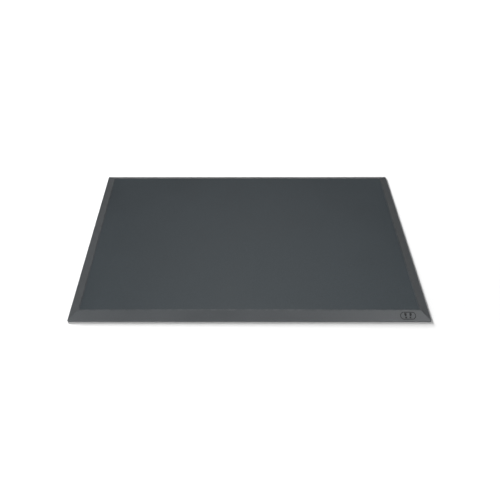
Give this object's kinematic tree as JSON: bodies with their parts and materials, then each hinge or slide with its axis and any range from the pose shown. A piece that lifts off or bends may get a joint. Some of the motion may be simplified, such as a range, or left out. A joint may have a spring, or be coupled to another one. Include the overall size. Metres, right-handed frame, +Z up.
{
  "type": "anti-fatigue mat",
  "caption": "Rectangular cushioned standing mat with a grained field, mitred sloping border ramps, layered foam core and a gripping underside.",
  "frame": {"origin": "middle of the underside, on the floor", "axes": "+X along the long side, to the right of someone who faces the edge with the emblem; +Y from that front edge to the back edge; +Z up"},
  "size_m": [0.914, 0.61, 0.016],
  "materials": {
    "wear_rubber": "satin",
    "ramp_rubber": "satin",
    "soft_foam": "matte",
    "firm_foam": "matte",
    "base_rubber": "matte",
    "emblem_rubber": "matte"
  },
  "bodies": {
    "root": {"wear_surface": "wear_rubber", "comfort_core": "soft_foam", "support_core": "firm_foam", "base_sheet": "base_rubber", "front_ramp": "ramp_rubber", "back_ramp": "ramp_rubber", "left_ramp": "ramp_rubber", "right_ramp": "ramp_rubber", "emblem": "emblem_rubber"}
  },
  "joints": []
}
